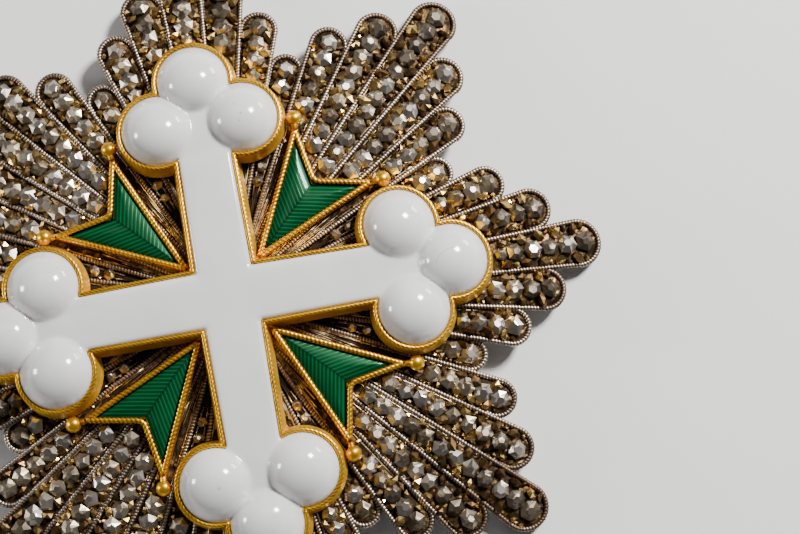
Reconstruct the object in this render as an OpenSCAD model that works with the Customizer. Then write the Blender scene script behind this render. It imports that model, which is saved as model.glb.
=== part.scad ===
// Eight-pointed breast star with a white cross and four green arrows
// Lies on its back, face up: +Z up, the cross's right arm along +X, its top arm along +Y.
// Origin on the surface below the middle, where the tips of the eight longest rays rest.

/* [Rays] */
// Reach of the eight longest rays from the middle
long_ray = 42.5; // [41:0.5:47]
// Reach of the rays beside a longest ray
second_ray = 37.7; // [36:0.1:40]
// Reach of the outer rays of a group
third_ray = 33.7; // [32:0.1:36]
// Reach of the single rays in the valleys between groups
valley_ray = 29.2; // [28:0.1:32]
// How far the curved back drops from the middle to the tips
dome_drop = 5; // [4:0.25:7]
// Radius where the rays begin
ray_start = 3; // [2.5:0.1:4]
// Thickness of a group's sheet
ray_plate = 0.7; // [0.5:0.05:1]
// Height from one ray up to its longer neighbour
ray_step = 0.15; // [0.1:0.05:0.25]
// How much thinner a valley ray's sheet is
valley_sink = 0.3; // [0.1:0.05:0.4]
// Gap between a valley ray and the groups beside it
valley_gap = 0.1; // [0.05:0.05:0.2]

/* [Ray borders and studs] */
// Width of the corded border round a ray
border_w = 0.45; // [0.3:0.05:0.6]
// Height of the corded border above the sheet
border_rise = 0.35; // [0.2:0.05:0.5]
// Half angle of the raised ridge that carries the studs
ridge_angle = 1.9; // [1.5:0.1:2.4]
// Height of the ridge above the sheet
ridge_rise = 0.5; // [0.3:0.05:0.8]
// Distance from a ray's tip back to the end of its ridge
ridge_end = 0.9; // [0.7:0.1:1.5]
// Height of a stud above its ridge
stud_rise = 0.75; // [0.5:0.05:1]
// Radius of the studs near the tips
stud_r = 1.02; // [0.7:0.02:1.02]
// Share of a stud's width that its flat table takes
stud_table = 0.45; // [0.3:0.05:0.7]
// Distance from a ray's tip to its first stud
stud_tip_gap = 2; // [1.8:0.1:3]
// Spacing of the studs at the tips of the longest rays
stud_pitch = 2.1; // [2.1:0.05:2.6]
// Spacing of the studs near the middle
stud_pitch_in = 1.75; // [1:0.05:2]

/* [Cross] */
// Width of an arm's enamel at the middle
arm_root_w = 6.3; // [5.6:0.1:7]
// Width of an arm's enamel at the trefoil
arm_neck_w = 5.8; // [5:0.1:6.4]
// Distance from the middle to the side lobes' centres
side_lobe_x = 19.7; // [19:0.1:21]
// Distance from an arm's middle line to the side lobes' centres
side_lobe_y = 4.7; // [4.4:0.1:5]
// Distance from the middle to the end lobe's centre
end_lobe_x = 24.8; // [24.6:0.1:26.2]
// Radius of a lobe's enamel outline
lobe_r = 4.05; // [3.8:0.05:4.3]
// Radius of the domed boss on a lobe
boss_r = 3.65; // [3.2:0.05:3.75]
// Height of a boss above the enamel
boss_rise = 2.3; // [1.6:0.1:2.8]
// Width of the roped gold rim
rim_w = 0.45; // [0.3:0.05:0.6]
// How far the gold wall below the rim stands out from it
wall_flare = 0.35; // [0.1:0.05:0.4]
// Height of the cross's gold wall
wall_h = 2.3; // [1.8:0.1:3]
// Height of the roped rim above the wall
rim_h = 0.45; // [0.3:0.05:0.6]
// Thickness of the gold floor below the enamel
floor_t = 0.6; // [0.4:0.1:1]
// Height of the cross's enamel above the rim
enamel_rise = 0.2; // [0:0.05:0.4]

/* [Arrows] */
// Distance from the middle to the notch in the arrows' outer edge
arrow_notch = 15.7; // [14.2:0.1:16]
// Width of the roped gold frame round an arrow
frame_w = 0.7; // [0.5:0.05:0.8]
// Height of an arrow's frame
frame_h = 1.3; // [1:0.1:1.8]
// Thickness of the gold floor below an arrow's enamel
arrow_floor = 0.4; // [0.3:0.05:0.6]
// How far an arrow's enamel lies below the top of its frame
arrow_sink = 0.15; // [0.05:0.05:0.3]
// Length of gold before the inner tip of the enamel
arrow_tip_cap = 1; // [0.7:0.1:1.5]
// Gap between an arrow's inner tip and the corner of the cross
arrow_tip_gap = 0.15; // [0.1:0.05:0.4]
// Radius of the balls on an arrow's prongs
ball_r = 0.8; // [0.6:0.05:0.9]
// Gap between a ball and the trefoil beside it
ball_gap = 0.15; // [0.1:0.05:0.3]
// Direction of a ball seen from the side lobe beside it
ball_bearing = 97; // [94:1:104]
// Distance from a ball's centre to the enamel's prong
ball_stand = 2.6; // [2.4:0.1:3.4]

/* [Back] */
// Radius of the plate behind the rays
back_r = 20; // [17:0.5:23]
// Thickness of the plate behind the rays
back_t = 0.9; // [0.6:0.1:1.2]
// Distance from the middle to the pin's hinge and to its catch
pin_reach = 13; // [10:0.5:15]
// Diameter of the pin
pin_d = 1.1; // [0.9:0.1:1.3]
// Drop of the pin's centre line below the back plate
pin_drop = 1.3; // [1.1:0.1:1.4]
// Width of the hinge and catch blocks across the pin
block_w = 4; // [3:0.5:6]
// Length of the hinge and catch blocks along the pin
block_l = 2.6; // [2:0.2:4]

/* [Fits] */
// Gap between pieces that are seated on each other
seat_gap = 0.05; // [0.03:0.01:0.1]

/* [Hidden] */
groups = 8;
group_pitch = 360 / groups;
ray_pitch = 7.5;
reaches = [long_ray, second_ray, third_ray];
ray_lap = 0.02;
sheet_share = 0.8;
dome_r = (long_ray * long_ray + dome_drop * dome_drop) / (2 * dome_drop);
dome_z = dome_drop - dome_r;
tip_steps = 12;
shell_steps = 1440;
turn_steps = 180;
round_steps = 96;

// Heights above the curve through the undersides of the longest rays
seat = ray_plate + 2 * ray_step + max(ridge_rise, border_rise) + seat_gap;
wall_top = seat + wall_h;
rim_top = wall_top + rim_h;
enamel_low = seat + floor_t + seat_gap;
enamel_top = rim_top + enamel_rise;
frame_top = seat + frame_h;
arrow_enamel_low = seat + arrow_floor + seat_gap;
arrow_enamel_top = frame_top - arrow_sink;
back_top = -seat_gap;
back_low = back_top - back_t;
stud_sink = ridge_rise / 4;
ball_level = frame_top - ball_r / 2;

// Studs are left out where they would be narrower than this, or lie below the cross or an arrow
stud_min_r = 0.5;
stud_clear = 0.08;

// The cross's lobes and their bosses
outer_lobe_r = lobe_r + rim_w + wall_flare;
boss_ball_r = (boss_r * boss_r + boss_rise * boss_rise) / (2 * boss_rise);
boss_root = boss_rise / 5;

// The arrows, along and across the diagonal of the cross
corner_u = (arm_root_w / 2 + rim_w + wall_flare) * sqrt(2);
arrow_cut_u = corner_u + arrow_tip_gap;
arrow_tip = [arrow_cut_u + arrow_tip_cap, 0];
notch = [arrow_notch, 0];
ball_away = outer_lobe_r + ball_gap + ball_r;
ball_x = side_lobe_x + ball_away * cos(ball_bearing);
ball_y = side_lobe_y + ball_away * sin(ball_bearing);
ball = [(ball_x + ball_y) / sqrt(2), (ball_y - ball_x) / sqrt(2)];
ball_v = abs(ball[1]);
prong_aim = [arrow_tip[0] + 0.7 * (arrow_notch - arrow_tip[0]), 0];
prong = [ball[0], ball_v] + ball_stand * unit(prong_aim - [ball[0], ball_v]);
edge_turn = atan2(prong[1] - arrow_tip[1], prong[0] - arrow_tip[0]);
notch_turn = atan2(prong[1] - notch[1], prong[0] - notch[0]);

function unit(v) = v / norm(v);

// Height above the surface of a point at a distance from the middle, on the curve at a level
function height_at(away, level) = dome_z + sqrt(pow(dome_r + level, 2) - away * away);

// Four corners of an arrow's enamel, grown on every side
function arrow_outline(grow) =
    let (middle = (edge_turn + notch_turn) / 2, half = (notch_turn - edge_turn) / 2,
         corner = prong + grow / sin(half) * [cos(middle), sin(middle)])
    [
        arrow_tip - [grow / sin(edge_turn), 0],
        [corner[0], -corner[1]],
        notch + [grow / sin(notch_turn), 0],
        corner
    ];

// Level of a ray's sheet, from its place in the group
function plate_of(side) = ray_plate + (2 - abs(side)) * ray_step;

function in_cross(x, y, clear) =
    (y < arm_root_w / 2 + rim_w + wall_flare + clear && x < end_lobe_x)
    || norm([x - side_lobe_x, y - side_lobe_y]) < outer_lobe_r + clear
    || norm([x - end_lobe_x, y]) < outer_lobe_r + clear;

function in_arrow(u, v, clear) =
    norm([u - ball[0], v - ball_v]) < ball_r + clear
    || (u > arrow_cut_u && u < ball[0]
        && (v - arrow_tip[1]) * cos(edge_turn) - (u - arrow_tip[0]) * sin(edge_turn) < frame_w + clear
        && (u - notch[0]) * sin(notch_turn) - (v - notch[1]) * cos(notch_turn) < frame_w + clear);

// Does a point lie below the cross or an arrow, or too close to one?
function covered(away, turn, clear) =
    let (x = abs(away * cos(turn)), y = abs(away * sin(turn)), big = max(x, y), small = min(x, y))
    in_cross(big, small, clear)
    || in_arrow((big + small) / sqrt(2), (big - small) / sqrt(2), clear);

function pitch_at(away) = stud_pitch_in + (stud_pitch - stud_pitch_in) * away / long_ray;

function stud_r_at(away) =
    min(stud_r * pitch_at(away) / stud_pitch, away * sin(ray_pitch / 2) - border_w / 2 - valley_gap);

// Distances of a ray's studs from the middle, from its tip inwards
function stud_row(away) =
    stud_r_at(away) < stud_min_r ? [] : concat([away], stud_row(away - pitch_at(away)));

// Layer of the star's curve, between two levels
module layer(low, high, reach = long_ray + 1)
    rotate_extrude($fn = turn_steps)
        intersection() {
            translate([0, dome_z])
                difference() {
                    circle(r = dome_r + high, $fn = shell_steps);
                    circle(r = dome_r + low, $fn = shell_steps);
                }
            translate([0, -2 * dome_drop])
                square([reach, 6 * dome_drop]);
        }

// The part of a layer that lies below a flat outline
module cut_layer(low, high)
    intersection() {
        layer(low, high);
        translate([0, 0, -2 * dome_drop])
            linear_extrude(6 * dome_drop)
                children();
    }

// Strip along X that bends down as the star's curve does, between two levels
module strip(low, high)
    difference() {
        translate([0, long_ray, dome_z])
            rotate([90, 0, 0])
                cylinder(r = dome_r + high, h = 2 * long_ray, $fn = shell_steps);
        translate([0, long_ray + 1, dome_z])
            rotate([90, 0, 0])
                cylinder(r = dome_r + low, h = 2 * long_ray + 2, $fn = shell_steps);
    }

// The part of a strip that lies below a flat outline
module cut_strip(low, high)
    intersection() {
        strip(low, high);
        translate([0, 0, -2 * dome_drop])
            linear_extrude(6 * dome_drop)
                children();
    }

// Stands its children on a strip
module on_strip(x, y, level)
    translate([0, y, dome_z])
        rotate([0, asin(x / (dome_r + level)), 0])
            translate([0, 0, dome_r + level])
                children();

// Stands its children on the star's curve, their X axis away from the middle
module on_dome(away, turn, level)
    translate([0, 0, dome_z])
        rotate([0, asin(away / (dome_r + level)), turn])
            translate([0, 0, dome_r + level])
                children();

// Outline of a ray: two straight sides and a round tip, grown on every side
module tongue(reach, half_angle, grow) {
    tip_r = reach * sin(half_angle) / (1 + sin(half_angle));
    spread = 90 + half_angle;
    polygon(concat(
        [[-grow / sin(half_angle), 0]],
        [for (k = [0 : tip_steps])
            let (turn = spread * (2 * k / tip_steps - 1))
            [reach - tip_r + (tip_r + grow) * cos(turn), (tip_r + grow) * sin(turn)]]
    ));
}

// A stud: eight facets up to a flat table
module stud(radius) {
    corners = [for (k = [0 : 7]) [cos(45 * k + 22.5), sin(45 * k + 22.5)]];
    polyhedron(
        points = concat(
            [for (c = corners) [radius * c[0], radius * c[1], -stud_sink]],
            [for (c = corners) [radius * stud_table * c[0], radius * stud_table * c[1], stud_rise]]
        ),
        faces = concat(
            [[for (k = [0 : 7]) k], [for (k = [7 : -1 : 0]) k + 8]],
            [for (k = [0 : 7]) [k, k + 8, (k + 1) % 8 + 8, (k + 1) % 8]]
        )
    );
}

// What a ray has above the sheet: a step up to its own level, a border and a ridge
module ray_top(reach, turn, plate, inset) {
    edge = border_w / 2;
    cut_strip(plate / 3, plate)
        rotate(turn)
            tongue(reach - edge / 2, ray_pitch / 2, -inset - edge / 2);
    cut_strip(plate / 2, plate + border_rise)
        rotate(turn)
            difference() {
                tongue(reach, ray_pitch / 2, -inset);
                tongue(reach - edge, ray_pitch / 2, -inset - edge);
            }
    cut_strip(plate / 2, plate + ridge_rise)
        rotate(turn)
            intersection() {
                tongue(reach, ray_pitch / 2, -inset);
                tongue(reach - ridge_end, ridge_angle, 0);
            }
}

// The studs of one ray, wherever neither the cross nor an arrow hides them
module ray_studs(reach, turn, group_turn, plate)
    for (away = stud_row(reach - stud_tip_gap))
        if (!covered(away, group_turn + turn, stud_r_at(away) + stud_clear))
            on_strip(away * cos(turn), away * sin(turn), plate + ridge_rise)
                rotate(turn)
                    stud(stud_r_at(away));

// The middle, where the rays would be too narrow
module middle_hole()
    translate([0, 0, -dome_drop])
        cylinder(r = ray_start, h = 4 * dome_drop, $fn = round_steps);

// Five rays on one sheet, the middle one longest and highest
module ray_group(index) {
    group_turn = (index - 1) * group_pitch;
    color([0.62, 0.6, 0.56])
        rotate(group_turn) {
            difference() {
                union() {
                    cut_strip(0, sheet_share * ray_plate)
                        for (side = [-2 : 2])
                            rotate(side * ray_pitch)
                                tongue(reaches[abs(side)] - ray_lap, ray_pitch / 2, ray_lap);
                    for (side = [-2 : 2])
                        ray_top(reaches[abs(side)], side * ray_pitch, plate_of(side), ray_lap);
                }
                middle_hole();
            }
            for (side = [-2 : 2])
                ray_studs(reaches[abs(side)], side * ray_pitch, group_turn, plate_of(side));
        }
}

// The single short ray between two groups
module valley_ray(index) {
    turn = (index - 0.5) * group_pitch;
    plate = ray_plate - valley_sink;
    color([0.55, 0.52, 0.47])
        rotate(turn) {
            difference() {
                union() {
                    cut_strip(0, sheet_share * plate)
                        tongue(valley_ray, ray_pitch / 2, -valley_gap);
                    ray_top(valley_ray, 0, plate, valley_gap + ray_lap);
                }
                middle_hole();
            }
            ray_studs(valley_ray, 0, turn, plate);
        }
}

// Plate behind the rays, which they are riveted to
module back_plate()
    color([0.7, 0.69, 0.66])
        layer(back_low, back_top, back_r);

// Fixed pin with its hinge and catch, which stands clear of the surface
module back_pin() {
    pin_z = height_at(pin_reach, back_low) - pin_drop;
    barrel_r = pin_d * 0.8;
    color([0.72, 0.7, 0.66]) {
        for (side = [-1, 1])
            intersection() {
                layer(back_low - 2 * pin_drop - dome_drop, back_low - seat_gap);
                translate([-block_w / 2, side * pin_reach - block_l / 2, pin_z])
                    cube([block_w, block_l, dome_drop]);
            }
        translate([-block_w / 2, pin_reach, pin_z])
            rotate([0, 90, 0])
                cylinder(r = barrel_r, h = block_w, $fn = round_steps);
        translate([0, block_l / 2 - pin_reach, pin_z])
            rotate([90, 0, 0])
                cylinder(r = barrel_r, h = block_l, $fn = round_steps);
        translate([0, pin_reach, pin_z])
            rotate([90, 0, 0])
                cylinder(d = pin_d, h = 2 * pin_reach + block_l, $fn = round_steps);
        translate([0, -pin_reach - block_l, pin_z])
            rotate([90, 0, 0])
                cylinder(d1 = pin_d, d2 = pin_d / 4, h = 2 * pin_d, $fn = round_steps);
    }
}

// Outline of the cross: four arms, each ending in a trefoil of three lobes
module cross_outline(grow)
    for (turn = [0 : 90 : 270])
        rotate(turn) {
            root = arm_root_w / 2 + grow;
            neck = arm_neck_w / 2 + grow;
            polygon([[0, -root], [side_lobe_x, -neck], [end_lobe_x, -neck],
                     [end_lobe_x, neck], [side_lobe_x, neck], [0, root]]);
            for (side = [-1, 1])
                translate([side_lobe_x, side * side_lobe_y])
                    circle(r = lobe_r + grow, $fn = round_steps);
            translate([end_lobe_x, 0])
                circle(r = lobe_r + grow, $fn = round_steps);
        }

// Gold tray of the cross: a wall, a narrower roped rim and a floor
module cross_frame()
    color([0.8, 0.6, 0.2])
        difference() {
            union() {
                cut_layer(seat, wall_top)
                    cross_outline(rim_w + wall_flare);
                cut_layer(wall_top - rim_h, rim_top)
                    cross_outline(rim_w);
            }
            cut_layer(seat + floor_t, rim_top + 1)
                cross_outline(0);
        }

// White enamel of the cross, with a domed boss on each lobe
module cross_enamel()
    color([0.93, 0.93, 0.91]) {
        cut_layer(enamel_low, enamel_top)
            cross_outline(-seat_gap);
        intersection() {
            layer(enamel_top - boss_root, enamel_top + 2 * boss_rise);
            union()
                for (turn = [0 : 90 : 270]) {
                    boss(end_lobe_x, turn);
                    for (side = [-1, 1])
                        boss(norm([side_lobe_x, side_lobe_y]),
                             turn + side * atan2(side_lobe_y, side_lobe_x));
                }
        }
    }

module boss(away, turn)
    on_dome(away, turn, enamel_top)
        translate([0, 0, boss_rise - boss_ball_r])
            sphere(r = boss_ball_r, $fn = round_steps);

// Gold tray of an arrow, with a ball on each prong
module arrow_frame(index)
    color([0.82, 0.62, 0.24])
        rotate(index * 90 - 45) {
            difference() {
                cut_layer(seat, frame_top)
                    intersection() {
                        polygon(arrow_outline(frame_w));
                        translate([arrow_cut_u, 0])
                            rotate(-45)
                                square(long_ray);
                    }
                cut_layer(seat + arrow_floor, frame_top + 1)
                    polygon(arrow_outline(0));
            }
            for (side = [-1, 1])
                on_dome(norm(ball), side * atan2(ball_v, ball[0]), ball_level) {
                    sphere(r = ball_r, $fn = round_steps);
                    rotate(side * (atan2(prong[1] - ball_v, prong[0] - ball[0]) - atan2(ball_v, ball[0])))
                        rotate([0, 90, 0])
                            cylinder(r1 = ball_r * 0.85, r2 = ball_r * 0.45, h = ball_stand / 2,
                                     $fn = round_steps);
                }
        }

// Green enamel of an arrow
module arrow_enamel(index)
    color([0, 0.4, 0.2])
        rotate(index * 90 - 45)
            cut_layer(arrow_enamel_low, arrow_enamel_top)
                polygon(arrow_outline(-seat_gap));

back_plate();
back_pin();
cross_frame();
cross_enamel();
ray_group(1);  // ray_group_1
ray_group(2);  // ray_group_2
ray_group(3);  // ray_group_3
ray_group(4);  // ray_group_4
ray_group(5);  // ray_group_5
ray_group(6);  // ray_group_6
ray_group(7);  // ray_group_7
ray_group(8);  // ray_group_8
valley_ray(1);  // valley_ray_1
valley_ray(2);  // valley_ray_2
valley_ray(3);  // valley_ray_3
valley_ray(4);  // valley_ray_4
valley_ray(5);  // valley_ray_5
valley_ray(6);  // valley_ray_6
valley_ray(7);  // valley_ray_7
valley_ray(8);  // valley_ray_8
arrow_frame(1);  // arrow_frame_1
arrow_frame(2);  // arrow_frame_2
arrow_frame(3);  // arrow_frame_3
arrow_frame(4);  // arrow_frame_4
arrow_enamel(1);  // arrow_enamel_1
arrow_enamel(2);  // arrow_enamel_2
arrow_enamel(3);  // arrow_enamel_3
arrow_enamel(4);  // arrow_enamel_4
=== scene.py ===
# %% [markdown]
# # A breast star: silver rays, a white cross and four green arrows
# The real star is silver work on a curved back. Eight groups of rays, edged with corded wire and
# set with faceted studs, carry a gold tray with a white enamelled cross, and four smaller trays
# with green enamel. Everything is modelled flat, in millimetres, as on a jeweller's bench.
# One helper then bends each piece over the star's curve and brings it to metres.

# %% Load the frame
import random
from contextlib import contextmanager
from math import asin, atan2, cos, exp, hypot, pi, radians, sin, sqrt, tan, tau

import bpy
import numpy as np
from mathutils import Matrix, Vector
from mathutils.kdtree import KDTree


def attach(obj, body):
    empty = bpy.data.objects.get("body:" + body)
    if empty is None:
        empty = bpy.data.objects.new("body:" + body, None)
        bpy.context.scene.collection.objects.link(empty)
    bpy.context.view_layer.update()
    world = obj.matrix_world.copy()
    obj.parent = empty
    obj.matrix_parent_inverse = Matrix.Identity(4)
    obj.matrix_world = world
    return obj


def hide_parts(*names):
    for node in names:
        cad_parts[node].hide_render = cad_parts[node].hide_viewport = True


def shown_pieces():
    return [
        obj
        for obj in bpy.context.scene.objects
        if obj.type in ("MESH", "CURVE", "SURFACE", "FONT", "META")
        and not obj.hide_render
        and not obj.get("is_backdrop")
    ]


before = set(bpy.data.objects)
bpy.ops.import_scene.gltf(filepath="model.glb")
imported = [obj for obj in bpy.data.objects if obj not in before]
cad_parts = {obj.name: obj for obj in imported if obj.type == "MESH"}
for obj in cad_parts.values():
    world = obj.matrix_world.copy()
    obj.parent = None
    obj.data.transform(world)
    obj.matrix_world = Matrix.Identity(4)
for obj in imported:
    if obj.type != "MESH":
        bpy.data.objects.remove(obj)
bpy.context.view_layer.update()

MM = 0.001


# %% Adding objects
def add_object(name, data):
    """An object for some data, linked to the scene."""
    made = bpy.data.objects.new(name, data)
    bpy.context.scene.collection.objects.link(made)
    return made


def primitive(add, **settings):
    """Adds a primitive with nothing else selected, and brings its place and turn into its mesh."""
    bpy.ops.object.select_all(action="DESELECT")
    add(**settings)
    bpy.ops.object.transform_apply()
    return bpy.context.object


# %% [markdown]
# The camera stands almost straight above the star, a little below its middle, with a short
# telephoto lens. Its place and its three axes come from fitting the corners of the cross and the
# tips of the rays. The floor is a plain pale board, and it reaches far past the picture.

# %% Camera and floor
EYE = Vector((9.6, -21.9, 181.8)) * MM
EYE_AXES = ((0.98318, -0.18012, 0.03034), (0.17464, 0.97563, 0.13285), (-0.05353, -0.12531, 0.99067))

camera = add_object("camera", bpy.data.cameras.new("camera"))
camera.matrix_world = Matrix.Translation(EYE) @ Matrix(EYE_AXES).transposed().to_4x4()
camera.data.lens, camera.data.sensor_width = 72, 36
camera.data.clip_start, camera.data.clip_end = 0.005, 10
bpy.context.scene.camera = camera

floor = primitive(bpy.ops.mesh.primitive_plane_add, size=3)
floor.name = "floor"
floor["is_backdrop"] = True
print("camera", tuple(round(c / MM, 1) for c in EYE), "mm")

# %% [markdown]
# Polished metal and glossy enamel show what stands round them. A small bright box high on the
# right puts one crisp spot on every dome, and a weaker one on the left a second spot. A wide dim
# panel beyond the top arm gives the flat facets a soft grey to mirror, and a last box, low on the
# right, skims the edges.

# %% Lights
STAR_MIDDLE = Vector((0, 0, 0.005))
# Place in metres, width and height, and watts
LIGHTS = {
    "key_box": ((0.36, 0.26, 0.43), (0.12, 0.12), 8.5),
    "left_box": ((-0.57, 0.10, 0.17), (0.11, 0.11), 1.7),
    "top_panel": ((0.00, 0.36, 0.58), (0.45, 0.30), 0.34),
    "low_box": ((0.46, 0.31, 0.08), (0.14, 0.08), 0.8),
}
for name, (place, size, watts) in LIGHTS.items():
    lamp = add_object(name, bpy.data.lights.new(name, "AREA"))
    lamp.data.shape, lamp.data.size, lamp.data.size_y = "RECTANGLE", *size
    lamp.data.energy = watts
    lamp.location = place
    lamp.rotation_euler = (STAR_MIDDLE - Vector(place)).to_track_quat("-Z", "Y").to_euler()

world = bpy.data.worlds.new("studio")
bpy.context.scene.world = world
world.use_nodes = True
world.node_tree.nodes["Background"].inputs["Color"].default_value = (0.90, 0.92, 1.0, 1)
world.node_tree.nodes["Background"].inputs["Strength"].default_value = 0.11
print("lights:", ", ".join(LIGHTS))

# %% [markdown]
# ## Finishes
# Old silver work is bright where a cloth reaches it and brown-black in the recesses. A wear
# group gives that mask once: broad clouds, fine grain and a level that each material sets. Through
# that level the mask also carries painted shade towards the tips of the rays.
# Each copy of a stud or granule also carries its own tone, kept as an attribute on the mesh.

# %% Node helpers
def build(tree, kind, inputs=None, **settings):
    """Adds a node. An input is a value, or a socket to link from."""
    made = tree.nodes.new(kind)
    for key, value in settings.items():
        setattr(made, key, value)
    for key, value in (inputs or {}).items():
        if isinstance(value, bpy.types.NodeSocket):
            tree.links.new(value, made.inputs[key])
        else:
            made.inputs[key].default_value = value
    return made


def object_place(tree):
    return build(tree, "ShaderNodeTexCoord").outputs["Object"]


def noise(tree, scale, detail=3.0, roughness=0.55):
    settings = {"Vector": object_place(tree), "Scale": scale, "Detail": detail, "Roughness": roughness}
    return build(tree, "ShaderNodeTexNoise", settings).outputs["Fac"]


def spread(tree, value, low, high, to_low=0.0, to_high=1.0):
    """Stretches a value from low..high to another range, clamped."""
    ends = {"Value": value, "From Min": low, "From Max": high, "To Min": to_low, "To Max": to_high}
    return build(tree, "ShaderNodeMapRange", ends).outputs[0]


def maths(tree, kind, a, b=0.0):
    return build(tree, "ShaderNodeMath", {0: a, 1: b}, operation=kind).outputs[0]


def away_from(tree, point):
    """Distance from a point on the star, given in millimetres."""
    ends = {0: object_place(tree), 1: tuple(c * MM for c in point)}
    return build(tree, "ShaderNodeVectorMath", ends, operation="DISTANCE").outputs["Value"]


def mixed(tree, share, a, b):
    """Mixes two colours. A colour is a socket, or red, green and blue."""
    a, b = (c if isinstance(c, bpy.types.NodeSocket) else (*c, 1) for c in (a, b))
    return build(tree, "ShaderNodeMix", {0: share, 6: a, 7: b}, data_type="RGBA").outputs[2]


def raise_surface(tree, shader, height, strength, depth):
    """A bump on the shader's normal, its depth in millimetres."""
    bump = build(tree, "ShaderNodeBump", {"Height": height, "Strength": strength, "Distance": depth * MM})
    tree.links.new(bump.outputs["Normal"], shader.inputs["Normal"])


def new_material(name, **sockets):
    """A material with one Principled shader, its constants set on the shader's own sockets."""
    made = bpy.data.materials.new(name)
    made.use_nodes = True
    shader = made.node_tree.nodes["Principled BSDF"]
    for key, value in sockets.items():
        shader.inputs[key.replace("_", " ")].default_value = value
    return made, made.node_tree, shader


# %% Wear and shade group
tree = wear_and_shade_group = bpy.data.node_groups.new("wear_and_shade", "ShaderNodeTree")
for label, default in (("Grime And Shade", 0.5), ("Cloud Scale", 250.0), ("Grain Scale", 2500.0)):
    tree.interface.new_socket(label, in_out="INPUT", socket_type="NodeSocketFloat").default_value = default
for label in ("Mask", "Grain"):
    tree.interface.new_socket(label, in_out="OUTPUT", socket_type="NodeSocketFloat")
entry = tree.nodes.new("NodeGroupInput")
cloud = noise(tree, entry.outputs["Cloud Scale"], 4, 0.6)
grain = noise(tree, entry.outputs["Grain Scale"], 2, 0.5)
both = maths(tree, "ADD", maths(tree, "MULTIPLY", cloud, 0.7), maths(tree, "MULTIPLY", grain, 0.3))
level = maths(tree, "ADD", both, maths(tree, "SUBTRACT", entry.outputs["Grime And Shade"], 0.5))
leave = tree.nodes.new("NodeGroupOutput")
tree.links.new(spread(tree, level, 0.42, 0.60), leave.inputs["Mask"])
tree.links.new(grain, leave.inputs["Grain"])
print("wear group sockets:", [s.name for s in tree.interface.items_tree])

# %% [markdown]
# Every metal here runs from a clean colour to a grimy one by that mask, and turns rougher as it
# goes. Two rings round the middle add to the mask: the rays darken near the middle, and towards
# their tips, where the darkening is painted shade and not grime. A warm colour lets some copies
# look gilt and others grey.

# %% Metal finishes
# Rings round the middle, in metres: inside the first the metal darkens, and across the second it darkens
# towards the tips of the rays as painted shade
CORE_RING, TIP_SHADE_RING, RING_CENTRE = (0.012, 0.021), (0.029, 0.038), (0, 0, 6)


def metal(name, clean, grimy_and_shaded, grime, rough, tone=0.0, bump=0.0, clouds=250.0, grains=2500.0,
          metallic=1.0, warm=None, core=0.0, tip_shade=0.0):
    """A metal. tone is the share of a copy's own tone. The last two darken it by place: one near the middle
    of the star, the other towards the tips of the rays, which is painted shade.
    """
    made, tree, shader = new_material(name, Metallic=metallic)
    own = build(tree, "ShaderNodeAttribute", attribute_name="tone").outputs["Fac"]
    drift = maths(tree, "MULTIPLY", maths(tree, "SUBTRACT", own, 0.5), tone)
    if core or tip_shade:
        away = away_from(tree, RING_CENTRE)
        drift = maths(tree, "ADD", drift, spread(tree, away, *CORE_RING, core, 0.0))
        # Towards the tips of the rays the metal darkens more: painted shade
        drift = maths(tree, "ADD", drift, spread(tree, away, *TIP_SHADE_RING, 0.0, tip_shade))
    levels = {"Grime And Shade": maths(tree, "ADD", drift, grime), "Cloud Scale": clouds, "Grain Scale": grains}
    worn_and_shaded = build(tree, "ShaderNodeGroup", levels, node_tree=wear_and_shade_group)
    mask = worn_and_shaded.outputs["Mask"]
    bright = mixed(tree, own, clean, warm) if warm else clean
    tree.links.new(mixed(tree, mask, bright, grimy_and_shaded), shader.inputs["Base Color"])
    tree.links.new(spread(tree, mask, 0, 1, *rough), shader.inputs["Roughness"])
    if bump:
        raise_surface(tree, shader, worn_and_shaded.outputs["Grain"], bump, 0.05)
    return made


# Clean colour, grimy colour (towards the tips of the rays also painted shade), grime, and roughness when
# clean and when grimy
finish = {
    # Studs and cords darken towards the tips of the rays: painted shade
    "studs": metal("cut_silver", (0.51, 0.46, 0.405), (0.12, 0.095, 0.07), 0.42, (0.31, 0.5),
        tone=0.3, warm=(0.55, 0.45, 0.30), tip_shade=0.16),
    "cords": metal("corded_silver", (0.56, 0.46, 0.37), (0.13, 0.085, 0.055), 0.49, (0.34, 0.52),
        tone=-0.4, bump=0.15, clouds=120.0, core=0.14, tip_shade=0.2),
    "granules": metal("gilt_granules", (0.34, 0.23, 0.11), (0.09, 0.05, 0.02), 0.42, (0.24, 0.48),
        tone=-0.4, warm=(0.92, 0.62, 0.20)),
    "wires": metal("gilt_wire", (0.62, 0.50, 0.34), (0.07, 0.045, 0.025), 0.46, (0.28, 0.5), core=0.1),
    "bed": metal("ray_bed", (0.34, 0.20, 0.075), (0.03, 0.018, 0.009), 0.58, (0.3, 0.7),
        bump=0.5, clouds=700.0, grains=3000.0, metallic=0.85, core=0.12),
    "back": metal("plain_silver", (0.66, 0.62, 0.55), (0.16, 0.13, 0.10), 0.33, (0.28, 0.5),
        bump=0.15, clouds=90.0),
    "gold_rope": metal("roped_gold", (0.85, 0.46, 0.025), (0.26, 0.095, 0.006), 0.43, (0.34, 0.5),
        tone=-0.6, metallic=0.9),
    "gold_wall": metal("plain_gold", (0.95, 0.55, 0.04), (0.38, 0.16, 0.015), 0.38, (0.30, 0.5),
        metallic=0.6),
}
print("metals:", ", ".join(finish))

# %% [markdown]
# The white enamel is fired glass: very smooth, with a clear gloss over a milky body, a few specks
# and one hairline crack. The marks are round spots of colour at places on the star, and the crack
# is a short stretch of a ring, so they need no picture and stay put from every side.

# %% White enamel
DARK_SPECK, OCHRE, CRACK_BROWN = (0.20, 0.16, 0.11), (0.52, 0.40, 0.22), (0.16, 0.13, 0.10)
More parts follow.
